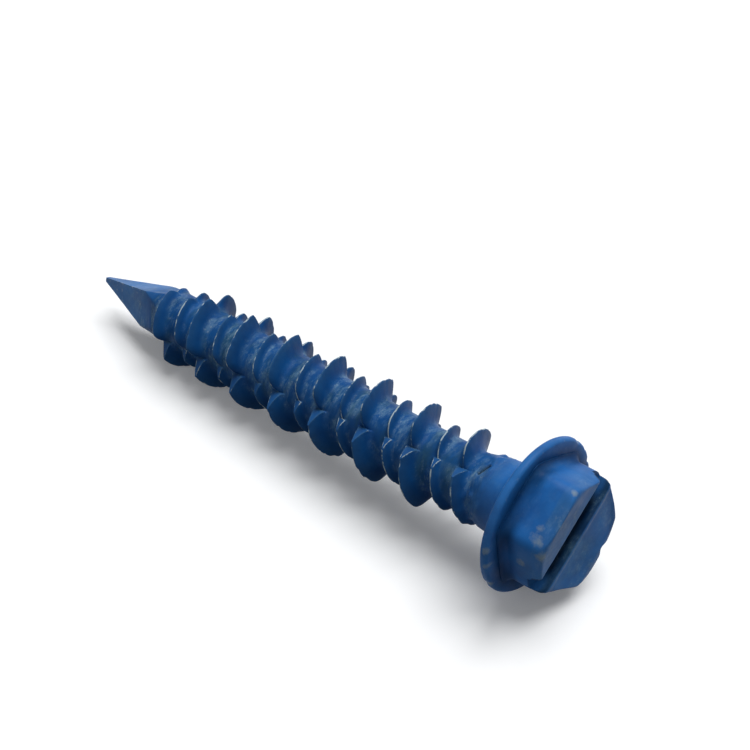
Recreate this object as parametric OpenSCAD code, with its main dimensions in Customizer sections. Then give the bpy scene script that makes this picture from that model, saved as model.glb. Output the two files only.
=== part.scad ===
// Concrete screw with a slotted hexagon washer head, a notched high and low thread and a four-sided point.
// Millimetres. It lies on z = 0 on its flange and its thread, with the head towards +X.

/* [Head] */
// Diameter of the washer flange
flange_d = 11.3; // [10:0.1:14]
// Height of the flange's rim
rim_h = 0.65; // [0.5:0.05:1.2]
// Radius of the rim's lower edge
rim_round = 0.2; // [0.05:0.01:0.24]
// Radius of the rim's upper edge
top_round = 0.3; // [0.05:0.01:0.4]
// Rise of the flange's top from the rim to the hexagon
flange_rise = 0.3; // [0.05:0.05:0.6]
// Rise of the slope at the foot of the hexagon
foot_h = 0.4; // [0.1:0.05:0.8]
// Width across the hexagon's flats
hex_af = 7.94; // [7:0.02:8.6]
// Width across the hexagon's softened corners
hex_corner_d = 8.9; // [8.7:0.02:9.1]
// Height of the head above its bearing face
head_h = 4; // [3.4:0.1:6]
// Height of the softened top edge at the corners
crown_h = 0.6; // [0.4:0.05:1.2]
// Width of the head's upper rim at the hollow top
crown_d = 7.5; // [6.8:0.1:7.7]
// Depth of the hollow that runs along the slot
dish_depth = 0.45; // [0.1:0.05:0.8]
// Width of the driver slot
slot_w = 1.35; // [0.8:0.05:2]
// Depth of the driver slot below the head's rim
slot_depth = 1.5; // [0.8:0.1:2.2]
// Turn of the slot from the hexagon's flats
slot_turn = 4; // [-15:1:15]

/* [Shank] */
// Length from the bearing face to the tip
shank_l = 44.6; // [36:0.2:60]
// Diameter of the plain neck
neck_d = 5.3; // [4.7:0.1:5.6]
// Diameter of the cone under the flange where it meets the bearing face
cone_d = 7; // [6:0.1:8]
// Length of that cone
cone_h = 1.6; // [0.8:0.1:2.2]

/* [Thread] */
// Diameter over the high thread
major_d = 7.2; // [6.4:0.1:7.8]
// Diameter over the low thread
low_d = 5.7; // [5.2:0.1:6.1]
// Diameter at the thread's root
core_d = 4.3; // [4:0.1:4.7]
// Advance of each thread in one turn
lead = 4.36; // [3.8:0.02:5.4]
// Width of the high thread at its root
high_base = 1.5; // [1:0.05:1.8]
// Width of the low thread at its root
low_base = 0.9; // [0.5:0.05:1.1]
// Width of both crests
crest_w = 0.14; // [0.08:0.01:0.3]
// Distance from the bearing face to the end of the thread
thread_end = 2.65; // [2.4:0.05:6]
// Length over which the thread fades below the neck
run_out = 2.5; // [1:0.1:5]
// Length over which the thread rises above the point
run_in = 3.5; // [1:0.1:6]
// Distance from the bearing face to a high crest on the first row of notches
crest_at = 17.62; // [15:0.02:20]

/* [Notches] */
// Angle of the longer side of a notch
notch_long = 24; // [12:1:48]
// Angle of the steeper side of a notch
notch_steep = 18; // [12:1:48]
// Share of a thread's height that is left in a notch
notch_floor = 0.08; // [0.02:0.01:0.6]
// Angle of the first row of notches at the bearing face
row_angle = 108.8; // [0:0.1:360]
// Angle by which the rows turn back in each millimetre towards the head
row_turn = 2.5; // [0.5:0.01:4]

/* [Point] */
// Length of the four-sided point along its ridges
point_l = 6.5; // [4:0.1:9]
// Width of the blunt tip over its corners
tip_w = 0.5; // [0.3:0.05:1]

/* [Roll] */
// Angle of a corner of the hexagon
hex_angle = 97; // [0:1:360]

/* [Hidden] */
paint = "#1f4f98";
$fn = 96;
cols = 60;
rows_of_notches = 3;
ridge_col = 2;
flange_r = flange_d / 2;
neck_r = neck_d / 2;
major_r = major_d / 2;
low_r = low_d / 2;
core_r = core_d / 2;
tip_r = tip_w / 2;
neck_step = 0.03;
hex_z = rim_h + flange_rise;

// Rise of a crest in one full circle of columns, which follow the rows of notches
turn_rise = 360 / (360 / lead + row_turn);
z_tip = -shank_l;
z_ridge = z_tip + point_l;
z_a = z_tip + 0.9 * point_l;
z_b = -cone_h / 2;
z_in = z_tip + 1.12 * point_l;
z_out = -thread_end;
snap = 0.05;

function clamp(x) = min(1, max(0, x));
function ease(x) = let (t = clamp(x)) t * t * (3 - 2 * t);
function fade(z) = ease((z - z_in) / run_in) * ease((z_out - z) / run_out);

// Angle about the axis of a column at height z
function around(p, z) = row_angle + p - row_turn * max(z, z_ridge);
ridge_angle = around(ridge_col * 360 / cols, z_ridge);
function ridge_r(z) = tip_r + (core_r - tip_r) * (z - z_tip) / point_l;
function wrap(x, n) = x - n * floor(x / n);
function facet_r(a, z) = ridge_r(z) * cos(45) / cos(wrap(a - ridge_angle, 90) - 45);
function neck_rise(z) = (neck_r - core_r) * ease((z - z_out + run_out) / run_out);
function base_r(a, z) = min(core_r, facet_r(a, z)) + neck_rise(z);

// Share of a crest's height at column angle p
notch_step = 360 / rows_of_notches;
function notch(p) = let (d = wrap(p + notch_step / 2, notch_step) - notch_step / 2)
    notch_floor + (1 - notch_floor) * clamp(d < 0 ? -d / notch_long : d / notch_steep);

// Half the width of a thread where a notch cuts it to the share s of its height
knee = 0.24;
knee_at = 0.27 * high_base;
function high_half(s) = s < knee ? knee_at + (high_base / 2 - knee_at) * (1 - s / knee)
    : crest_w / 2 + (knee_at - crest_w / 2) * (1 - s) / (1 - knee);
function low_half(s) = low_base / 2 - s * (low_base - crest_w) / 2;

// One advance of the thread, high then low. Each entry is [offset, share of height, crest radius]
function high_side(s) = let (w = max(knee_at, high_half(s)))
    [[high_base / 2, 0], [w, min(knee, s)], [min(high_half(s), 0.8 * w), s]];
function low_side(s) = [[low_base / 2, 0], [low_half(s), s]];
function both(side, middle, r) = let (n = len(side)) concat(
    [for (f = side) [middle - f[0], f[1], r]],
    [for (k = [1:n]) [middle + side[n - k][0], side[n - k][1], r]]
);
profiles = [for (j = [0:cols - 1]) let (s = notch(j * 360 / cols))
    concat(both(high_side(s), 0, major_r), both(low_side(s), turn_rise / 2, low_r))];
per = len(profiles[0]);
z_first = -crest_at - turn_rise * (ceil((-crest_at - z_a) / turn_rise) + 1);
rows = per * (ceil((z_b - z_first + high_base) / turn_rise) + 1);

function row_z(i, j) = z_first + turn_rise * (floor(i / per) + j / cols) + profiles[j][i % per][0];
function at(r, a, z) = [r * cos(a), r * sin(a), z];
function shank_point(i, j) =
    let (p = j * 360 / cols, z = row_z(i, j), a = around(p, z), b = base_r(a, z), f = profiles[j][i % per])
    at(b + max(0, f[2] - b) * f[1] * fade(z), a, z);

ring_a = [for (j = [0:cols - 1]) let (a = around(j * 360 / cols, z_a)) at(base_r(a, z_a), a, z_a)];
ring_b = [for (j = [0:cols - 1]) let (a = around(j * 360 / cols, z_b)) at(neck_r, a, z_b)];
tip = [for (k = [0:3]) at(tip_r, ridge_angle + 90 * k, z_tip)];
first_b = cols;
first_tip = 2 * cols;
first_row = 2 * cols + 4;

// Index of a point. Rows beyond either end fall on that end's ring
function id(i, j) = j == cols ? id(i + per, 0)
    : row_z(i, j) < z_a + snap ? j
    : row_z(i, j) > z_b - snap ? first_b + j
    : first_row + i * cols + j;
function sides(t) = t[0] != t[1] && t[1] != t[2] && t[2] != t[0];

shank_points = concat(ring_a, ring_b, tip,
    [for (i = [0:rows - 1], j = [0:cols - 1]) shank_point(i, j)]);
grid_faces = [
    for (i = [0:rows - 1 - per], j = [0:cols - 1])
        let (a = id(i, j), b = id(i, j + 1), c = id(i + 1, j + 1), d = id(i + 1, j))
            for (t = [[a, d, c], [a, c, b]]) if (sides(t)) t
];
quarter = cols / 4;
tip_faces = concat(
    [for (k = [0:3], s = [0:quarter - 1])
        let (j = ridge_col + k * quarter + s) [first_tip + k, j % cols, (j + 1) % cols]],
    [for (k = [0:3]) [first_tip + k, (ridge_col + (k + 1) * quarter) % cols, first_tip + (k + 1) % 4]],
    [[first_tip, first_tip + 1, first_tip + 2], [first_tip, first_tip + 2, first_tip + 3]]
);
end_faces = [for (j = [1:cols - 2]) [first_b, first_b + j + 1, first_b + j]];

// The lowest crests when it lies down: where a high crest passes straight below the axis
down = 270;
function low_z(n) = (-crest_at + turn_rise * (down - row_angle) / 360 + n * turn_rise) * lead / turn_rise;
function low_crest(z) = core_r + (major_r - core_r) * fade(z) * notch(down - row_angle + row_turn * z);
turns = ceil(shank_l / lead) + 2;
lean = min([for (n = [-turns:turns]) let (z = low_z(n)) if (z < z_out && z > z_ridge)
    atan((flange_r - low_crest(z)) / (rim_round - z))]);
rest_z = (flange_r - rim_round) * cos(lean) + rim_round - rim_round * sin(lean);
x_tip = -shank_l * cos(lean) - tip_r * sin(lean);
x_top = head_h * cos(lean) + crown_d / 2 * sin(lean);
rest_x = -(x_tip + x_top) / 2;

module shank() {
    polyhedron(shank_points, concat(grid_faces, tip_faces, end_faces), 10);
}

module flange() {
    rotate_extrude() {
        square([flange_r - rim_round, rim_h / 2]);
        square([flange_r - top_round, rim_h]);
        translate([0, rim_round]) square([flange_r, rim_h - rim_round - top_round]);
        translate([flange_r - rim_round, rim_round]) circle(rim_round);
        translate([flange_r - top_round, rim_h - top_round]) circle(top_round);
        polygon([[0, rim_h], [flange_r - top_round, rim_h], [hex_corner_d / 2, hex_z], [0, hex_z]]);
        polygon([[0, 0], [cone_d / 2, 0], [neck_r + neck_step, -cone_h], [0, -cone_h]]);
    }
}

module crown() {
    rotate_extrude() polygon([
        [0, 0], [hex_corner_d / 2, 0], [hex_corner_d / 2, head_h - crown_h],
        [crown_d / 2 + 0.3, head_h - 0.22 * crown_h], [crown_d / 2, head_h], [0, head_h]
    ]);
}

// The hollow in the top and the slot along its floor
module top_cut() {
    half = crown_d / 2;
    dish_r = (half * half + dish_depth * dish_depth) / (2 * dish_depth);
    rotate([0, 0, hex_angle - 60 + slot_turn]) {
        translate([-flange_r, 0, head_h - dish_depth + dish_r])
            rotate([0, 90, 0]) cylinder(h = flange_d, r = dish_r, $fn = 720);
        translate([-flange_r, -slot_w / 2, head_h - slot_depth]) cube([flange_d, slot_w, head_h]);
    }
}

module hexagon() {
    foot = flange_rise + foot_h;
    difference() {
        intersection() {
            rotate([0, 0, hex_angle]) {
                cylinder(h = head_h, d = hex_af / cos(30), $fn = 6);
                translate([0, 0, rim_h])
                    cylinder(h = foot, d1 = (hex_af + 2 * foot) / cos(30), d2 = hex_af / cos(30), $fn = 6);
            }
            crown();
        }
        top_cut();
    }
}

module concrete_screw() {
    color(paint)
        translate([rest_x, 0, rest_z]) rotate([0, -lean, 0]) rotate([90, 0, 90])
            union() {
                shank();
                flange();
                hexagon();
            }
}

concrete_screw();
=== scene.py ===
import bpy
import bmesh
import math
from mathutils import Matrix, Quaternion, Vector, noise


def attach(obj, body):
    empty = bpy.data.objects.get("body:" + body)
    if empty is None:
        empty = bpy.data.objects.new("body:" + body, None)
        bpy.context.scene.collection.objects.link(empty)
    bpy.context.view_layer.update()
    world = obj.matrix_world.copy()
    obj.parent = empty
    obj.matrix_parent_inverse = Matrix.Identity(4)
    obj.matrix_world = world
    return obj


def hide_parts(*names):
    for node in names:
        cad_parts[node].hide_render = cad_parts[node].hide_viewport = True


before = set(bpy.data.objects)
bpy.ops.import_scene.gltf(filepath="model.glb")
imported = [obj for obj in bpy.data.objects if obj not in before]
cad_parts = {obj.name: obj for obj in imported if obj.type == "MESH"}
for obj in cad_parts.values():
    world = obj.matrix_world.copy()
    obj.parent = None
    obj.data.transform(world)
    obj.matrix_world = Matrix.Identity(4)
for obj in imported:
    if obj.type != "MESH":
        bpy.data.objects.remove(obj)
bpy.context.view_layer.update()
print("frame loaded")

# how the screw lies: its bearing face sits at "seat", its axis leans up to the head
lie = {"seat": (20.157, 0.0, 5.62793), "lean": 3.46657, "toMetres": 0.001, "sharpEdge": 38}   # mm, degrees


def clamp(x):
    return min(1.0, max(0.0, x))


def ease(x):
    t = clamp(x)
    return t * t * (3 - 2 * t)


def wrap(x, n):
    return x - n * math.floor(x / n)


def apart(a, b):   # degrees between two angles about the axis
    return abs(wrap(a - b + 180, 360) - 180)


def inOrder(parts):   # each part once, in the order given
    return list(dict.fromkeys(parts))


def rough(x, y, z, size, seed):   # soft unevenness of about -1 to 1, features of one size in mm
    return noise.noise(Vector((x, y, z)) / size + Vector((seed, seed * 1.7, -seed)))


def around(r, angle, z):   # a place by its radius, its angle about the axis and its height
    return Vector((r * math.cos(math.radians(angle)), r * math.sin(math.radians(angle)), z))


# threaded shank: z runs along the axis, 0 at the bearing face and less towards the tip

shank = {
    # mm, and radii for what is round
    "length": 44.6, "neck": 2.65, "core": 2.15, "high": 3.6, "low": 2.85,
    "lead": 4.36, "highAt": -17.62, "rowTurn": 2.5, "rowAngle": 108.8,
    "threadTop": -2.65, "fadeTop": 2.5, "fadeTip": 3.5, "neckCut": -1.9, "columns": 180,
    "joinTurns": 0.004, "joinFlats": 0.002, "snap": 0.0005, "neckNear": 0.1,
    # thread: offset from the crest in mm and share of the crest's height
    "highForm": [(0.75, 0.0), (0.63, 0.035), (0.52, 0.1), (0.42, 0.21), (0.33, 0.37), (0.24, 0.56),
                 (0.16, 0.75), (0.1, 0.89), (0.065, 0.97), (0.03, 1.0)],
    "lowForm": [(0.45, 0.0), (0.36, 0.06), (0.28, 0.19), (0.2, 0.41), (0.13, 0.66), (0.07, 0.92),
                (0.03, 1.0)],
    "roots": [0.95, 1.2, 1.44],
    # notches: degrees, and shares of a side or of a crest
    "notchRows": 3, "notchLong": 24.0, "notchSteep": 18.0, "notchFloor": 0.07,
    "shoulderFrom": 0.75, "shoulderTo": 1.25, "sharpTo": 1.0, "flatInner": 0.5, "flatClear": 0.8,
    # point: its ridges, and shares of its length where other forms start or stop
    "point": 6.5, "tip": 0.25, "tipShort": 0.003, "tipInset": 0.05, "tipDome": 0.02, "pointRows": 26,
    "ridgeAt": 0.0, "ridgeFull": 1.02, "cutAt": 0.9, "threadFrom": 1.12, "facetsTo": 1.6, "ringNear": 0.01,
    # unevenness: size of its features and seed, then how deep it goes
    "burrs": (0.42, 3), "burrDeep": 0.13, "burrFrom": 0.12,
    "waver": (1.6, 5), "waverDeep": 0.03,
    "grain": (0.9, 7), "grainDeep": 0.016, "grainSink": 0.01, "grainAt": 3.0,
    "tears": (0.75, 9), "tornDeep": 0.17, "tornSink": 0.2, "tearAt": 2.6, "tearClose": 2.4,
    "tornBelow": 0.7, "tornLong": 1.2,
    "pointGrain": (0.7, 11), "pointGrainDeep": 0.012, "pointGrainAt": 2.0, "pointGrainFade": 1.5,
    # worn coat, partly painted sheen on the flanks: crests, flanks, flats of the notches, neck and point
    "rubFrom": 0.96, "flankWearAndSheen": 0.4, "flankFrom": 0.3, "flankOver": 0.6, "wearTall": 0.35,
    "flatWear": 0.2, "flatEdgeWear": 1.05, "neckWear": 0.22, "neckFrom": -5.0, "neckFade": 2.5,
    "pointWear": 0.52, "ridgeWear": 0.1, "ridgeHalf": 4.0, "pointFade": 2.5, "pointGrime": 0.15,
    # painted shade over the thread, and stains in its roots
    "shade": 0.46, "shadeAbove": 1.0, "shadeFade": 3.0, "pointClear": 0.8,
    "grimeTo": 0.3, "grimeAbove": 0.6, "grimeFade": 2.0,
    # a nick where the low thread runs out: angle and height of its ends, half width, depth, bare metal
    "nick": {"from": (117.0, -3.72), "to": (98.0, -3.38), "half": 0.2, "deep": 0.2, "margin": 10,
             "cuts": 2, "bare": 0.9, "bareFrom": 0.03, "bareTo": 0.1, "bareFade": 0.06},
}
shank["rise"] = 360 / (360 / shank["lead"] + shank["rowTurn"])
shank["tipZ"] = shank["tipShort"] - shank["length"]
shank["ridgeZ"] = shank["tipZ"] + shank["point"]
shank["pointCut"] = shank["tipZ"] + shank["cutAt"] * shank["point"]
shank["threadTip"] = shank["tipZ"] + shank["threadFrom"] * shank["point"]
shank["facetTop"] = shank["tipZ"] + shank["facetsTo"] * shank["point"]


def columnAngle(p, z):   # the columns follow the rows of notches
    return shank["rowAngle"] + p - shank["rowTurn"] * max(z, shank["ridgeZ"])


def threadFade(z):
    s = shank
    return ease((z - s["threadTip"]) / s["fadeTip"]) * ease((s["threadTop"] - z) / s["fadeTop"])


def fromNotch(p):   # degrees from the bottom of the nearest notch
    step = 360 / shank["notchRows"]
    return wrap(p + step / 2, step) - step / 2


def notchDepth(p):   # share of a crest that a notch leaves
    s = shank
    d = fromNotch(p)
    side = -d / s["notchLong"] if d < 0 else d / s["notchSteep"]
    if d < 0 and side > s["shoulderFrom"]:   # a soft shoulder where the crest starts to sink
        side = 1 - clamp(s["shoulderTo"] - side) ** 2
    return s["notchFloor"] + (1 - s["notchFloor"]) * clamp(side)


def flankWidth(flank, left):   # half the thread's width where its height is cut to "left"
    for (wideA, highA), (wideB, highB) in zip(flank, flank[1:]):
        if highA <= left <= highB:
            return wideA + (wideB - wideA) * (left - highA) / (highB - highA)
    return flank[-1][0]


def ridgeRadius(z):
    s = shank
    return s["tip"] + (s["core"] - s["tip"]) * s["ridgeFull"] * (z - s["tipZ"]) / s["point"]


def facetRadius(angle, z):   # the four sides of the point
    ridge = columnAngle(shank["ridgeAt"], shank["ridgeZ"])
    offMiddle = wrap(angle - ridge, 90) - 45
    return ridgeRadius(z) * math.cos(math.radians(45)) / math.cos(math.radians(offMiddle))


def coreRadius(angle, z):
    s = shank
    r = min(s["core"], facetRadius(angle, z)) if z < s["facetTop"] else s["core"]
    return r + (s["neck"] - s["core"]) * ease((z - s["threadTop"] + s["fadeTop"]) / s["fadeTop"])


def nickDepth(angle, z):   # how deep the nick is at a place on the shank
    cut = shank["nick"]
    arcLength = math.radians(shank["neck"])   # mm for each degree
    a = Vector((cut["from"][0] * arcLength, cut["from"][1]))
    along = Vector((cut["to"][0] * arcLength, cut["to"][1])) - a
    here = Vector((wrap(angle, 360) * arcLength, z)) - a
    t = clamp(here.dot(along) / along.length_squared)
    return cut["deep"] * ease(1 - (here - along * t).length / cut["half"])


def threadRows():   # one rise of the thread: crest's place, offset from it, share of height, crest radius
    s = shank
    rows = []
    for middle, flank, crest in ((0.0, s["highForm"], s["high"]), (s["rise"] / 2, s["lowForm"], s["low"])):
        rows += [(middle, -o, h, crest) for o, h in flank]
        rows += [(middle, o, h, crest) for o, h in reversed(flank)]
        if middle == 0.0:
            rows += [(0.0, o, 0.0, s["core"]) for o in s["roots"]]
    rows += [(s["rise"], -o, 0.0, s["core"]) for o in reversed(s["roots"])]
    rows.append((s["rise"], -s["highForm"][0][0], 0.0, s["high"]))
    return rows


def makeShank(bm, layers):
    s = shank
    first = s["highAt"] - s["rise"] * (math.ceil((s["highAt"] - s["pointCut"]) / s["rise"]) + 1)
    turns = math.ceil((s["neckCut"] - first) / s["rise"]) + 1
    chain = []
    for middle, offset, h, crest in threadRows():
        v = bm.verts.new((s["core"], 0, first + middle + offset))
        v[layers["share"]], v[layers["offset"]], v[layers["crest"]] = h, offset, crest
        chain.append(v)
    links = [bm.edges.new(pair) for pair in zip(chain, chain[1:])]
    bmesh.ops.spin(bm, geom=chain + links, cent=(0, 0, 0), axis=(0, 0, 1), angle=math.tau,
                   dvec=(0, 0, s["rise"] / s["columns"]), steps=s["columns"], use_merge=False)
    oneTurn = bm.verts[:] + bm.edges[:] + bm.faces[:]
    for n in range(1, turns):
        copied = bmesh.ops.duplicate(bm, geom=oneTurn)["geom"]
        points = [g for g in copied if isinstance(g, bmesh.types.BMVert)]
        bmesh.ops.translate(bm, verts=points, vec=(0, 0, n * s["rise"]))
    bmesh.ops.remove_doubles(bm, verts=bm.verts, dist=s["joinTurns"])
    for z, side in ((s["pointCut"], -1), (s["neckCut"], 1)):
        bmesh.ops.bisect_plane(bm, geom=bm.verts[:] + bm.edges[:] + bm.faces[:], dist=s["snap"],
                               plane_co=(0, 0, z), plane_no=(0, 0, side), clear_outer=True)
    for v in bm.verts:
        shapeThread(v, layers)
    bmesh.ops.remove_doubles(bm, verts=bm.verts, dist=s["joinFlats"])
    pressNick(bm, layers)
    print("thread turned", len(bm.verts))


def shapeThread(v, layers):   # lifts one point of the turned shank to its thread, notch and burrs
    s = shank
    p = math.degrees(math.atan2(v.co.y, v.co.x))
    z, h, crest, offset = v.co.z, v[layers["share"]], v[layers["crest"]], v[layers["offset"]]
    left = notchDepth(p)
    rubbed = clamp((h - s["rubFrom"]) / (1 - s["rubFrom"]))
    rolled = fromNotch(p) < s["sharpTo"]   # here the crest sinks and stays sharp, elsewhere it is cut flat
    onFlat = h > left and not rolled
    inner = h == 1.0
    if onFlat:
        rubbed = s["flatWear"] if inner else s["flatEdgeWear"]
        if s["pointCut"] + s["flatClear"] < z < s["neckCut"] - s["flatClear"]:   # open the flat to its width
            flank = s["highForm"] if crest > (s["low"] + s["high"]) / 2 else s["lowForm"]
            wide = flankWidth(flank, left) * (s["flatInner"] if inner else 1.0)
            z += math.copysign(max(abs(offset), wide), offset) - offset
    h = h * left if rolled else min(h, left)
    a = columnAngle(p, z)
    x, y = math.cos(math.radians(a)), math.sin(math.radians(a))
    base = coreRadius(a, z)
    tall = max(0.0, crest - base) * threadFade(z)
    spot = (x * s["grainAt"], y * s["grainAt"], z)
    burr = 1 - s["burrDeep"] * clamp(rough(*spot, *s["burrs"]) - s["burrFrom"])
    burr -= s["waverDeep"] * (1 + rough(*spot, *s["waver"]))
    r = base + tall * h * (1 - (1 - burr) * h * h)
    r += s["grainDeep"] * rough(*spot, *s["grain"]) * (1 - h) - s["grainSink"]
    torn = ease(1 - abs(z - s["threadTop"] + s["tornBelow"]) / s["tornLong"])   # where the thread runs out
    tear = rough(x * s["tearAt"], y * s["tearAt"], z * s["tearClose"], *s["tears"]) - s["tornSink"]
    r += s["tornDeep"] * torn * tear
    v.co = (r * x, r * y, z)
    atPoint = 1 - ease((z - s["pointCut"]) / s["pointFade"])
    atNeck = ease((z - s["neckFrom"]) / s["neckFade"])
    # the outer flanks are paler: partly wear, partly a painted sheen
    flankRubAndSheen = s["flankWearAndSheen"] * ease((h - s["flankFrom"]) / s["flankOver"])
    onThread = max(rubbed, flankRubAndSheen) * clamp(tall / s["wearTall"])
    v[layers["wearAndSheen"]] = max(onThread, s["neckWear"] * atNeck, s["pointWear"] * atPoint)
    # painted shade over the thread, less towards the point
    shaded = ease((s["threadTop"] + s["shadeAbove"] - z) / s["shadeFade"])
    v[layers["paintedShade"]] = s["shade"] * shaded * (1 - s["pointClear"] * atPoint)
    grimy = ease((s["threadTop"] + s["grimeAbove"] - z) / s["grimeFade"])
    v[layers["grime"]] = ease((s["grimeTo"] - h) / s["grimeTo"]) * grimy


def pressNick(bm, layers):
    cut = shank["nick"]
    (angleA, zA), (angleB, zB), half = cut["from"], cut["to"], cut["half"]
    near = []
    for f in bm.faces:
        middle = f.calc_center_median()
        angle = math.degrees(math.atan2(middle.y, middle.x))
        if zA - 2 * half < middle.z < zB + 2 * half and angleB - cut["margin"] < angle < angleA + cut["margin"]:
            near.append(f)
    edges = inOrder(e for f in near for e in f.edges)
    bmesh.ops.subdivide_edges(bm, edges=edges, cuts=cut["cuts"], use_grid_fill=True)
    for v in bm.verts:
        if zA - 3 * half < v.co.z < zB + 3 * half:
            deep = nickDepth(math.degrees(math.atan2(v.co.y, v.co.x)), v.co.z)
            v.co -= Vector((v.co.x, v.co.y, 0)).normalized() * deep
            # painted shade in the nick
            v[layers["paintedShade"]] = max(v[layers["paintedShade"]], ease(deep / cut["deep"]))
            rim = clamp(deep / cut["bareFrom"]) * clamp((cut["bareTo"] - deep) / cut["bareFade"])
            v[layers["chip"]] = cut["bare"] * rim


def makePoint(bm, layers):
    s = shank
    start = s["pointCut"]
    ring = [e for e in bm.edges if e.is_boundary and all(abs(v.co.z - start) < s["ringNear"] for v in e.verts)]
    ridge = columnAngle(s["ridgeAt"], s["ridgeZ"])
    for n in range(1, s["pointRows"] + 1):
        z = start + (s["tipZ"] - start) * n / s["pointRows"]
        grown = bmesh.ops.extrude_edge_only(bm, edges=ring)["geom"]
        ring = [g for g in grown if isinstance(g, bmesh.types.BMEdge) and g.is_boundary]
        for v in [g for g in grown if isinstance(g, bmesh.types.BMVert)]:
            a = math.degrees(math.atan2(v.co.y, v.co.x))
            x, y = math.cos(math.radians(a)), math.sin(math.radians(a))
            grain = rough(x * s["pointGrainAt"], y * s["pointGrainAt"], z, *s["pointGrain"])
            r = facetRadius(a, z)
            r += (s["pointGrainDeep"] * grain - s["grainSink"]) * clamp((z - s["tipZ"]) / s["pointGrainFade"])
            v.co = (r * x, r * y, z)
            offRidge = abs(wrap(a - ridge + 45, 90) - 45)
            v[layers["wearAndSheen"]] = s["pointWear"] + clamp(1 - offRidge / s["ridgeHalf"]) * s["ridgeWear"]
            v[layers["grime"]] = s["pointGrime"]
            v[layers["paintedShade"]] = 0.0
    cap = bmesh.ops.contextual_create(bm, geom=ring)["faces"]
    bmesh.ops.inset_region(bm, faces=cap, thickness=s["tipInset"], depth=s["tipDome"])
    print("point drawn out")


# slotted hexagon washer head

head = {
    # mm: washer flange, and the cone under it with offsets from the cone's radius
    "flange": 5.65, "rim": 0.65, "rimRound": 0.2, "rimTop": 0.3, "flangeRise": 0.04, "fillet": 0.55,
    "cone": 3.5, "coneLength": 1.6, "neckLap": 0.02,
    "coneTop": (-0.12, -0.2), "bendAt": (0.1, -0.24), "bend": 0.24, "faceFrom": 0.25,
    # hexagon and crown; the two softnesses are powers
    "flats": 7.94, "corner": 4.45, "cornerSoft": 22.0, "edgeSoft": 60.0, "hexAngle": 97.0, "flare": 0.9,
    "height": 3.93, "crownDrop": 0.6, "crown": 3.7, "easeIn": 0.2, "easeDrop": 1.2,
    "topLean": 0.3, "leanTo": 315.0, "leanFrom": 1.8, "leanOver": 2.1,   # the top sits a little off the axis
    "hollow": 0.5, "hollowFrom": 2.3, "pressFrom": 0.05, "pressIn": 0.4,
    # small steps between the stretches of the turned outline, and the rows of each
    "sideOut": 0.06, "topStep": (0.05, 0.01), "sideUp": 0.08, "crownStep": 0.12,
    "rows": {"cone": 10, "bend": 5, "face": 8, "rimRound": 6, "rim": 3, "rimTop": 8, "flange": 6,
             "fillet": 10, "side": 14, "crown": 14, "top": 26},
    "joinPole": 0.002,
    # slot, its rounded edges and the raised edge along one side
    "slotWide": 1.4, "slotFloor": 2.5, "slotTurn": 34.5, "slotShift": 0.12, "slotRound": 0.2, "slotDrop": 0.75,
    "roundRows": (1.0, 0.75, 0.45, 0.2, 0.0), "wallRows": (0.03, 0.06, 0.2),
    "floorIn": 0.01, "wallIn": 0.045, "cutBelow": 0.3, "roundAbove": 0.3, "roundNear": 0.001,
    "slotSnap": 0.0008, "joinSlot": 0.0006,
    "lip": 0.05, "lipWide": 0.5, "lipAbove": 0.8,
    # painted shade on the slot's floor, walls and rounded edges
    "slotDark": {"walls": 0.6, "endsFrom": 2.5, "endsOver": 1.3, "edges": 0.8, "steep": 1.5, "start": 0.05},
    "slotGrime": 0.15,
    # dents in the rim: angle, half width in degrees, depth
    "dents": [(42, 4, 0.12), (14, 5, 0.16), (27, 3, 0.05), (118, 5, 0.04), (206, 6, 0.08), (262, 5, 0.06),
              (318, 6, 0.1)],
    "rimWide": 0.8, "rimOver": 0.6, "rimUnder": -0.1, "rimWaver": (1.5, 13), "rimWaverDeep": 0.022,
    # dents and swellings of the hexagon's upper edge: angle, half width in degrees, depth
    "edgeDents": [(313, 9, 0.38), (0, 45, -0.26), (270, 32, -0.14)],
    "edgeFrom": 2.2, "edgeOver": 1.4,
    "grain": (1.1, 17), "grainDeep": 0.012, "grainFrom": 0.9, "grainOver": 0.3,
    # coat: wear of the sides and the rim, painted sheen on two sides, painted shade in the hexagon's foot; a
    # paler top, partly a dusting and partly painted sheen, with painted shade on its far edge
    "wearAndSheen": 0.08, "rimWear": 0.2, "rimWearWide": 0.3, "rimWearOver": 0.25, "grime": 0.12,
    "sheenSides": (67.0, 187.0), "sheenHalf": 38, "sideSheen": 0.3, "sheenFrom": 1.2, "sheenOver": 1.2,
    "foot": {"paintedShade": 0.7, "full": 1.2, "out": 0.2, "wide": 0.9, "at": 0.9, "tall": 0.8},
    "topTall": 0.9, "topSheenAndDust": 0.32, "topGrime": 0.5,
    "farEdge": {"at": 350, "half": 55, "from": 2.7, "over": 1.2, "drop": 0.14, "paintedShade": 0.4},
    # chips in the coat: radius, angle, height, size
    "chips": [(4.3, 150, 3.05, 0.85), (4.05, 165, 3.7, 0.9), (4.03, 138, 2.9, 0.5), (4.15, 96, 3.6, 0.45),
              (3.98, 183, 2.08, 0.6), (5.59, 171, 0.5, 0.5), (5.52, 184, 0.5, 0.5), (5.6, 42, 0.45, 0.5),
              (5.6, 206, 0.4, 0.5), (5.6, 262, 0.3, 0.5), (5.6, 318, 0.4, 0.6),
              (4.3, 275, 3.5, 0.6), (4.3, 337, 2.2, 0.5), (4.1, 220, 3.6, 0.5), (4.0, 305, 1.6, 0.5)],
    # along the rim's edges the coat is rubbed thin, partly a painted highlight
    "chipFull": 1.5, "rimRubAndHighlight": 0.35, "rimChipWide": 0.3, "rimChipOver": 0.2,
}


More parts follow.
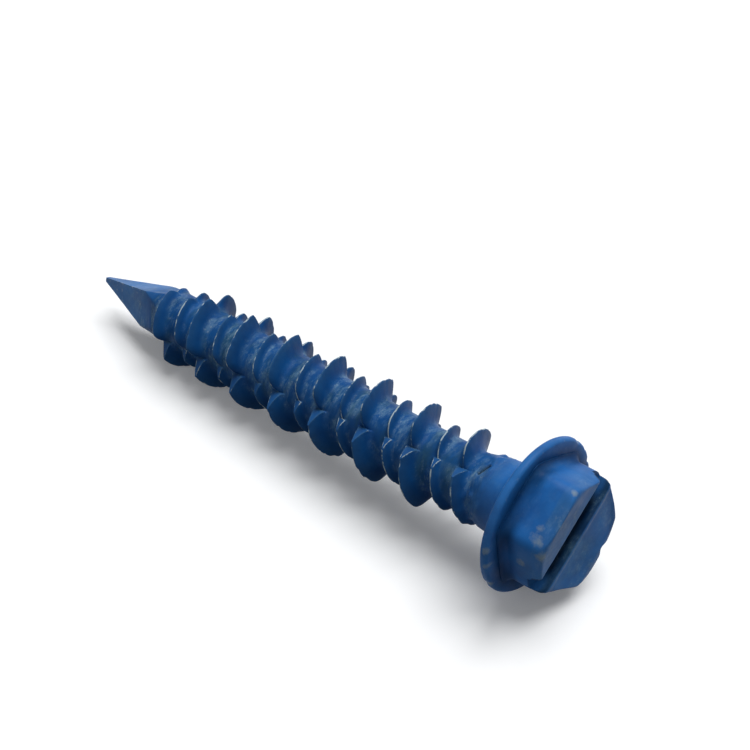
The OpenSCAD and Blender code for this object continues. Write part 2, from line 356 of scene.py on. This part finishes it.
def arc(centre, radius, fromDeg, toDeg, count):
    turns = [math.radians(fromDeg + (toDeg - fromDeg) * n / count) for n in range(count + 1)]
    return [(centre[0] + radius * math.cos(t), centre[1] + radius * math.sin(t)) for t in turns]


def stroke(a, b, count):   # points from a to b without b
    return [(a[0] + (b[0] - a[0]) * n / count, a[1] + (b[1] - a[1]) * n / count) for n in range(count)]


def headLine():   # the round outline that the head is turned from, neck to crown
    h, rows = head, head["rows"]
    wide, low, high, top = h["flange"], h["rimRound"], h["rimTop"], h["rim"]
    coneTop = (h["cone"] + h["coneTop"][0], h["coneTop"][1])
    line = stroke((shank["neck"] + h["neckLap"], -h["coneLength"]), coneTop, rows["cone"])
    line += arc((h["cone"] + h["bendAt"][0], h["bendAt"][1]), h["bend"], 150, 90, rows["bend"])
    line += stroke((h["cone"] + h["faceFrom"], 0.0), (wide - low, 0.0), rows["face"])
    line += arc((wide - low, low), low, -90, 0, rows["rimRound"])[:-1]
    line += stroke((wide, low), (wide, top - high), rows["rim"])
    line += arc((wide - high, top - high), high, 0, 80, rows["rimTop"])
    side, foot, fillet = h["corner"] + h["sideOut"], top + h["flangeRise"], h["fillet"]
    topFrom = (wide - high - h["topStep"][0], top + h["topStep"][1])
    line += stroke(topFrom, (side + fillet, foot), rows["flange"])
    line += arc((side + fillet, foot + fillet), fillet, 270, 180, rows["fillet"])
    sideFrom, sideTo = foot + fillet + h["sideUp"], h["height"] - h["crownDrop"]
    line += stroke((side, sideFrom), (h["corner"], sideTo), rows["side"])
    for n in range(rows["crown"] + 1):
        t = math.radians(90 * n / rows["crown"])
        r = h["crown"] + (h["corner"] - h["crown"]) * math.cos(t)
        line.append((r, sideTo + h["crownDrop"] * math.sin(t)))
    line += stroke((h["crown"] - h["crownStep"], h["height"]), (0.0, h["height"]), rows["top"])
    line.append((0.0, h["height"]))
    return line


def hexRadius(angle):   # the hexagon's side with softened corners
    p = head["cornerSoft"]
    sides = [math.cos(math.radians(angle - head["hexAngle"] - 30 - 60 * k)) for k in range(6)]
    total = sum(max(0.0, side) ** p for side in sides)
    return head["flats"] / 2 / total ** (1 / p)


def hexSide(angle, z):   # the hexagon flares out at its foot and eases in towards its top
    h = head
    up = clamp((z - h["rim"] - h["flangeRise"]) / h["fillet"])
    flare = h["fillet"] * (1 - math.sqrt(max(0.0, 1 - (1 - up) ** 2)))
    t = clamp((z - h["height"] + h["easeDrop"]) / h["easeDrop"])
    return hexRadius(angle) + h["flare"] * flare - h["easeIn"] * (1 - math.sqrt(max(0.0, 1 - t * t)))


def dentAt(angle, dents):
    return sum(deep * ease(1 - apart(angle, at) / half) for at, half, deep in dents)


def atFarEdge(r, angle, z):   # 1 on the far edge of the top, which is pressed down a little and painted in shade, and 0 away from it
    h, far = head, head["farEdge"]
    if z <= h["height"] - h["topTall"]:
        return 0.0
    return ease(1 - apart(angle, far["at"]) / far["half"]) * ease((r - far["from"]) / far["over"])


def acrossSlot():
    turn = math.radians(head["slotTurn"])
    return Vector((-math.sin(turn), math.cos(turn), 0))


def makeHead(bm, layers):
    chain = [bm.verts.new((r, 0, z)) for r, z in headLine()]
    links = [bm.edges.new(pair) for pair in zip(chain, chain[1:])]
    bmesh.ops.spin(bm, geom=chain + links, cent=(0, 0, 0), axis=(0, 0, 1), angle=math.tau,
                   steps=shank["columns"], use_merge=True)
    bmesh.ops.remove_doubles(bm, verts=bm.verts, dist=head["joinPole"])
    across = acrossSlot()
    for v in bm.verts:
        a, z = math.degrees(math.atan2(v.co.y, v.co.x)), v.co.z
        r = shapeHead(v, a, across)
        coatHead(v, layers, r, a, z)
    print("head pressed", len(bm.verts))


def shapeHead(v, a, across):   # presses one point of the turned head to its place
    h = head
    r, z = math.hypot(v.co.x, v.co.y), v.co.z
    if z > h["rim"] + h["flangeRise"] - h["pressFrom"] and r > h["crown"] - h["pressIn"]:   # hexagon
        q = h["edgeSoft"]
        r = 1 / (r ** -q + hexSide(a, z) ** -q) ** (1 / q)
        r -= dentAt(a, h["edgeDents"]) * ease((z - h["edgeFrom"]) / h["edgeOver"])
    elif r > h["flange"] - h["rimWide"] and z > h["rimUnder"]:   # uneven rim
        out = ease((r - h["flange"] + h["rimWide"]) / h["rimOver"])
        uneven = h["rimWaverDeep"] * (1 + rough(v.co.x, v.co.y, 0, *h["rimWaver"]))
        r -= out * (dentAt(a, h["dents"]) + uneven)
    lean = around(h["topLean"], h["leanTo"], 0)
    v.co = around(r, a, z) + lean * ease((z - h["leanFrom"]) / h["leanOver"])
    off = abs(v.co.dot(across) - h["slotShift"]) / h["crown"]
    if off < 1:   # hollow along the slot
        upper = ease((z - h["hollowFrom"]) / (h["height"] - h["hollowFrom"]))
        v.co.z -= h["hollow"] * (1 - off * off) * upper
    grain = rough(v.co.x, v.co.y, v.co.z, *h["grain"])
    v.co += v.co.normalized() * h["grainDeep"] * grain * clamp((z - h["grainFrom"]) / h["grainOver"])
    v.co.z -= h["farEdge"]["drop"] * atFarEdge(r, a, z)
    return r


def coatHead(v, layers, r, a, z):   # wear, dust, painted sheen and painted shade at one point of the head
    h, foot = head, head["foot"]
    v[layers["grime"]] = h["grime"]
    v[layers["wearAndSheen"]] = h["wearAndSheen"] + h["rimWear"] * ease((r - h["flange"] + h["rimWearWide"]) / h["rimWearOver"])
    # painted shade in the crease at the hexagon's foot
    nearFoot = ease(foot["full"] - abs(r - h["corner"] - foot["out"]) / foot["wide"])
    v[layers["paintedShade"]] = foot["paintedShade"] * nearFoot * ease(foot["full"] - abs(z - foot["at"]) / foot["tall"])
    if z > h["rim"]:   # two sides of the hexagon are painted lighter, a painted sheen
        dustAndSheen = max(ease(1 - apart(a, side) / h["sheenHalf"]) for side in h["sheenSides"])
        v[layers["wearAndSheen"]] += h["sideSheen"] * dustAndSheen * ease((z - h["sheenFrom"]) / h["sheenOver"])
    # the top: a paler coat, partly a dusting and partly a painted sheen
    if z > h["height"] - h["topTall"]:
        far = atFarEdge(r, a, z)
        # painted shade on the far edge of the top
        v[layers["paintedShade"]] = h["farEdge"]["paintedShade"] * far
        v[layers["wearAndSheen"]] = h["topSheenAndDust"] * (1 - far)
        v[layers["grime"]] = h["topGrime"]
    if r > h["flange"] - h["rimChipWide"]:   # coat rubbed thin along the rim's edges, partly a painted highlight
        v[layers["chip"]] = h["rimRubAndHighlight"] * clamp(abs(z - 0.5 * h["rim"]) / h["rimChipOver"])


def cutSlot(bm, layers):
    h, paintedShade = head, head["slotDark"]
    half, soft = h["slotWide"] / 2, h["slotRound"]
    across = acrossSlot()
    along = across.cross(Vector((0, 0, 1)))
    for d in [half + soft * t for t in h["roundRows"]] + [half - t for t in h["wallRows"]]:
        for side in (1, -1):
            upper = [f for f in bm.faces if max(v.co.z for v in f.verts) > h["slotFloor"] - h["cutBelow"]]
            geom = inOrder(part for f in upper for part in (f, *f.edges, *f.verts))
            bmesh.ops.bisect_plane(bm, geom=geom, dist=h["slotSnap"], plane_no=across,
                                   plane_co=across * (h["slotShift"] + d * side))
    for v in bm.verts:
        off = v.co.dot(across) - h["slotShift"]
        d, deep = abs(off), v.co.z - h["slotFloor"]
        if deep <= 0:
            continue
        if d < half - h["floorIn"]:   # floor, and a row half way up the walls, all in painted shade that thins towards the slot's ends
            v.co.z = h["slotFloor"] + (deep * 0.5 if d > half - h["wallIn"] else 0.0)
            atEnd = ease((abs(v.co.dot(along)) - paintedShade["endsFrom"]) / paintedShade["endsOver"])
            v[layers["paintedShade"]] = 1 - paintedShade["walls"] * atEnd
            v[layers["grime"]] = h["slotGrime"]
        elif d < half + soft + h["roundNear"] and deep > h["roundAbove"]:   # rounded edges, in painted shade
            t = (half + soft - d) / soft
            v.co.z -= soft * h["slotDrop"] * (1 - math.sqrt(max(0.0, 1 - t * t)))
            v[layers["paintedShade"]] = paintedShade["edges"] * ease(paintedShade["steep"] * t + paintedShade["start"])
        if off < 0 and deep > h["lipAbove"]:
            v.co.z += h["lip"] * math.sin(math.pi * clamp((d - half) / h["lipWide"]))
    bmesh.ops.remove_doubles(bm, verts=bm.verts, dist=h["joinSlot"])
    print("slot cut")


def chipCoat(bm, layers):   # patches where the coat has come off the head
    spots = [(around(r, angle, z), size) for r, angle, z, size in head["chips"]]
    for v in bm.verts:
        near = max(1 - (v.co - spot).length / size for spot, size in spots)
        v[layers["chip"]] = max(v[layers["chip"]], clamp(near * head["chipFull"]))


# whole screw

draftLayers = ("share", "offset", "crest")   # only for shaping
coatLayers = ("wearAndSheen", "chip", "grime", "paintedShade")   # read by the paint; wear also carries painted sheen, and the last layer is painted shade


def newLayers(bm):
    return {name: bm.verts.layers.float.new(name) for name in draftLayers + coatLayers}


def addHead(bm):
    top = bmesh.new()
    layers = newLayers(top)
    makeHead(top, layers)
    cutSlot(top, layers)
    chipCoat(top, layers)
    mesh = bpy.data.meshes.new("headDraft")
    top.to_mesh(mesh)
    top.free()
    bm.from_mesh(mesh)
    bpy.data.meshes.remove(mesh)
    lowest = shank["neckCut"] - shank["neckNear"]
    openings = [e for e in bm.edges if e.is_boundary and e.verts[0].co.z > lowest]
    bmesh.ops.bridge_loops(bm, edges=openings)


def layDown(bm):
    seat, lean = Vector(lie["seat"]), math.radians(lie["lean"])
    place = Matrix(((0, -math.sin(lean), math.cos(lean), seat.x), (1, 0, 0, seat.y),
                    (0, math.cos(lean), math.sin(lean), seat.z), (0, 0, 0, 1)))
    bm.transform(Matrix.Scale(lie["toMetres"], 4) @ place)


def makeScrew():
    bm = bmesh.new()
    layers = newLayers(bm)
    makeShank(bm, layers)
    makePoint(bm, layers)
    addHead(bm)
    bmesh.ops.recalc_face_normals(bm, faces=bm.faces)
    layDown(bm)
    for f in bm.faces:
        f.smooth = True
    for e in bm.edges:
        e.smooth = len(e.link_faces) == 2 and e.calc_face_angle(0) < math.radians(lie["sharpEdge"])
    print("open edges", sum(1 for e in bm.edges if len(e.link_faces) != 2))
    mesh = bpy.data.meshes.new("screw")
    bm.to_mesh(mesh)
    bm.free()
    for name in draftLayers:
        mesh.attributes.remove(mesh.attributes[name])
    piece = bpy.data.objects.new("screw", mesh)
    bpy.context.scene.collection.objects.link(piece)
    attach(piece, "root")
    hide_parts("concrete_screw")
    triangles = sum(len(f.vertices) - 2 for f in mesh.polygons)
    print("screw made", len(mesh.polygons), "faces", triangles, "triangles")
    return piece


# worn blue paint, with painted shade and painted sheen

paint = {
    "deep": (0.007, 0.075, 0.28, 1), "coat": (0.011, 0.125, 0.42, 1), "pale": (0.085, 0.215, 0.37, 1),
    "stain": (0.2, 0.36, 0.46, 1), "murk": (0.016, 0.06, 0.1, 1), "bare": (0.45, 0.55, 0.58, 1),
    # the last colour here is that of painted shade
    "chalk": (0.25, 0.31, 0.31, 1), "paintedShade": (0.0005, 0.008, 0.03, 1),
    # how much of each layer shows at most
    "dustShow": 0.35, "wearShow": 0.55, "murkShow": 0.65, "stainShow": 0.45, "speckShow": 0.4,
    "chalkShow": 0.75, "bareShow": 0.8,
    # patterns: features in a metre, detail, roughness, and the range that becomes 0 to 1
    "patches": (420, 3, 0.6, 0.3, 0.62), "dustFine": (1100, 5, 0.7, 0.5, 0.72),
    "dustWide": (260, 2, 0.6, 0.42, 0.66), "murkStreaks": (700, 4, 0.65, 0.47, 0.66),
    "stainStreaks": (1700, 8, 0.75, 0.45, 0.66), "stainWide": (380, 2, 0.6, 0.38, 0.57),
    "specks": (5200, 3, 0.6, 0.56, 0.68), "rubWide": (650, 3, 0.6, 0.38, 0.62),
    "gloss": (700, 3, 0.6, 0.3, 0.7),
    # patterns that are added to a chip or to wear, and the range of the sum
    "chipEdge": (1500, 5, 0.7), "chipRagged": 1.8, "chipRange": (1.4, 2.2),
    "rubFine": (2600, 4, 0.7), "rubShare": (0.25, 1.05), "rubRange": (1.12, 1.45),
    "drawn": (1.0, 0.4, 0.4),   # draws streaks out around the shank
    "shine": 0.1, "shineInDark": 0.3, "rough": 0.42, "roughLess": 0.07, "roughMore": 0.1,
    "bumpFine": (2600, 3, 0.6), "bumpWide": (700, 3, 0.6), "bumpShare": 0.8,
    "bump": 0.12, "bumpDeep": 0.00008,
}


def makePaint():
    mat = bpy.data.materials.new("wornBluePaint")
    mat.use_nodes = True
    nodes, links = mat.node_tree.nodes, mat.node_tree.links
    shader = nodes["Principled BSDF"]
    coords = nodes.new("ShaderNodeTexCoord")
    turned = nodes.new("ShaderNodeMapping")
    turned.inputs["Scale"].default_value = paint["drawn"]
    links.new(coords.outputs["Object"], turned.inputs["Vector"])

    def speckle(scale, detail, roughness, drawn=False):
        n = nodes.new("ShaderNodeTexNoise")
        n.inputs["Scale"].default_value = scale
        n.inputs["Detail"].default_value = detail
        n.inputs["Roughness"].default_value = roughness
        links.new(turned.outputs["Vector"] if drawn else coords.outputs["Object"], n.inputs["Vector"])
        return n.outputs["Fac"]

    def between(value, low, high, toLow=0.0, toHigh=1.0):
        n = nodes.new("ShaderNodeMapRange")
        n.inputs["From Min"].default_value = low
        n.inputs["From Max"].default_value = high
        n.inputs["To Min"].default_value = toLow
        n.inputs["To Max"].default_value = toHigh
        links.new(value, n.inputs["Value"])
        return n.outputs["Result"]

    def pattern(name, toLow=0.0, toHigh=1.0, drawn=False):
        scale, detail, roughness, low, high = paint[name]
        return between(speckle(scale, detail, roughness, drawn), low, high, toLow, toHigh)

    def sums(a, b, operation):
        n = nodes.new("ShaderNodeMath")
        n.operation = operation
        links.new(a, n.inputs[0])
        if isinstance(b, float):
            n.inputs[1].default_value = b
        else:
            links.new(b, n.inputs[1])
        return n.outputs[0]

    def times(a, b):
        return sums(a, b, "MULTIPLY")

    def plus(a, b):
        return sums(a, b, "ADD")

    def layer(under, over, amount):
        n = nodes.new("ShaderNodeMix")
        n.data_type = "RGBA"
        links.new(amount, n.inputs["Factor"])
        for socket, value in ((n.inputs[6], under), (n.inputs[7], over)):
            if isinstance(value, tuple):
                socket.default_value = value
            else:
                links.new(value, socket)
        return n.outputs[2]

    def attribute(name):
        n = nodes.new("ShaderNodeAttribute")
        n.attribute_name = name
        return n.outputs["Fac"]

    wearAndSheen, chip, grime, paintedShade = [attribute(name) for name in coatLayers]
    coat = layer(paint["deep"], paint["coat"], pattern("patches"))
    dustAndSheen = times(pattern("dustFine"), pattern("dustWide"))
    # pale: dust, wear, and painted sheen
    pale = plus(times(dustAndSheen, paint["dustShow"]), times(wearAndSheen, paint["wearShow"]))
    coat = layer(coat, paint["pale"], pale)
    # painted shade laid over the coat
    coat = layer(coat, paint["paintedShade"], paintedShade)
    murky = times(grime, pattern("murkStreaks", drawn=True))
    coat = layer(coat, paint["murk"], times(murky, paint["murkShow"]))
    stained = times(grime, times(pattern("stainStreaks", drawn=True), pattern("stainWide")))
    coat = layer(coat, paint["stain"], times(stained, paint["stainShow"]))
    specks = times(stained, pattern("specks"))
    coat = layer(coat, paint["bare"], times(specks, paint["speckShow"]))
    ragged = times(speckle(*paint["chipEdge"]), paint["chipRagged"])
    chalky = between(plus(chip, ragged), *paint["chipRange"])
    coat = layer(coat, paint["chalk"], times(chalky, paint["chalkShow"]))
    rubbed = times(wearAndSheen, pattern("rubWide", *paint["rubShare"]))
    bright = between(plus(rubbed, speckle(*paint["rubFine"])), *paint["rubRange"])
    coat = layer(coat, paint["bare"], times(bright, paint["bareShow"]))
    links.new(coat, shader.inputs["Base Color"])

    # less reflection where painted shade lies
    shine = between(paintedShade, 0.0, 1.0, paint["shine"], paint["shine"] * paint["shineInDark"])
    links.new(shine, shader.inputs["Specular IOR Level"])
    gloss = pattern("gloss", paint["rough"] - paint["roughLess"], paint["rough"] + paint["roughMore"])
    links.new(gloss, shader.inputs["Roughness"])
    bump = nodes.new("ShaderNodeBump")
    bump.inputs["Strength"].default_value = paint["bump"]
    bump.inputs["Distance"].default_value = paint["bumpDeep"]
    uneven = plus(speckle(*paint["bumpFine"]), times(speckle(*paint["bumpWide"]), paint["bumpShare"]))
    links.new(uneven, bump.inputs["Height"])
    links.new(bump.outputs["Normal"], shader.inputs["Normal"])
    print("paint mixed")
    return mat


# floor, light and camera

studio = {
    "floor": (0.92, 0.93, 0.94, 1), "floorBounce": (0.1, 0.1, 0.1, 1), "floorGlow": 0.1,
    "floorHalf": 3.0, "floorRough": 0.9,
    "sky": 0.22, "sun": 2.8, "sunAngle": 48, "sunFrom": (0.05, 0.33, 0.93),
    "fill": 0.24, "fillAngle": 80, "fillFrom": (0.15, -0.85, 0.35),
    "eye": (0.05576554, -0.05428868, 0.07106112), "aim": (-0.00164432, 0.00844191, 0.0),
    "roll": -0.075, "lens": 66.197, "sensor": 36, "nearest": 0.001,
}


def seenRays(tree):   # 1 for what the camera sees, directly, mirrored or through glass
    path = tree.nodes.new("ShaderNodeLightPath")
    total = path.outputs["Is Camera Ray"]
    for name in ("Is Glossy Ray", "Is Transmission Ray"):
        n = tree.nodes.new("ShaderNodeMath")
        n.operation = "MAXIMUM"
        tree.links.new(total, n.inputs[0])
        tree.links.new(path.outputs[name], n.inputs[1])
        total = n.outputs[0]
    return total


def makeFloor():
    bm = bmesh.new()
    bmesh.ops.create_grid(bm, x_segments=1, y_segments=1, size=studio["floorHalf"])
    mesh = bpy.data.meshes.new("floor")
    bm.to_mesh(mesh)
    bm.free()
    floor = bpy.data.objects.new("floor", mesh)
    bpy.context.scene.collection.objects.link(floor)
    mat = bpy.data.materials.new("paleFloor")
    mat.use_nodes = True
    nodes, links = mat.node_tree.nodes, mat.node_tree.links
    shader = nodes["Principled BSDF"]
    shader.inputs["Roughness"].default_value = studio["floorRough"]
    shader.inputs["Specular IOR Level"].default_value = 0.0
    seen = seenRays(mat.node_tree)
    pick = nodes.new("ShaderNodeMix")
    pick.data_type = "RGBA"
    links.new(seen, pick.inputs["Factor"])
    pick.inputs[6].default_value = studio["floorBounce"]
    pick.inputs[7].default_value = studio["floor"]
    links.new(pick.outputs[2], shader.inputs["Base Color"])
    glow = nodes.new("ShaderNodeMapRange")
    links.new(seen, glow.inputs["Value"])
    glow.inputs["To Max"].default_value = studio["floorGlow"]
    links.new(glow.outputs["Result"], shader.inputs["Emission Strength"])
    shader.inputs["Emission Color"].default_value = studio["floor"]
    floor.data.materials.append(mat)


def makeSky():
    world = bpy.data.worlds.new("whiteRoom")
    bpy.context.scene.world = world
    world.use_nodes = True
    nodes, links = world.node_tree.nodes, world.node_tree.links
    back = nodes["Background"]
    back.inputs["Color"].default_value = (1, 1, 1, 1)
    level = nodes.new("ShaderNodeMapRange")
    links.new(seenRays(world.node_tree), level.inputs["Value"])
    level.inputs["To Min"].default_value = studio["sky"]
    level.inputs["To Max"].default_value = 1.0
    links.new(level.outputs["Result"], back.inputs["Strength"])


def makeSun(name, power, wide, source):
    lamp = bpy.data.lights.new(name, "SUN")
    lamp.energy = power
    lamp.angle = math.radians(wide)
    sun = bpy.data.objects.new(name, lamp)
    sun.rotation_euler = Vector(source).to_track_quat("Z", "Y").to_euler()
    bpy.context.scene.collection.objects.link(sun)


def makeCamera():
    scene = bpy.context.scene
    cam = bpy.data.cameras.new("camera")
    cam.lens = studio["lens"]
    cam.sensor_width = studio["sensor"]
    cam.clip_start = studio["nearest"]
    eye = bpy.data.objects.new("camera", cam)
    eye.location = studio["eye"]
    look = (Vector(studio["aim"]) - Vector(studio["eye"])).to_track_quat("-Z", "Y")
    eye.rotation_euler = (look @ Quaternion((0, 0, 1), math.radians(studio["roll"]))).to_euler()
    scene.collection.objects.link(eye)
    scene.camera = eye


def makeStudio():
    makeFloor()
    makeSky()
    makeSun("overhead", studio["sun"], studio["sunAngle"], studio["sunFrom"])
    makeSun("fill", studio["fill"], studio["fillAngle"], studio["fillFrom"])
    makeCamera()
    bpy.context.scene.view_settings.view_transform = "Standard"
    print("studio set")


screw = makeScrew()
screw.data.materials.append(makePaint())
makeStudio()
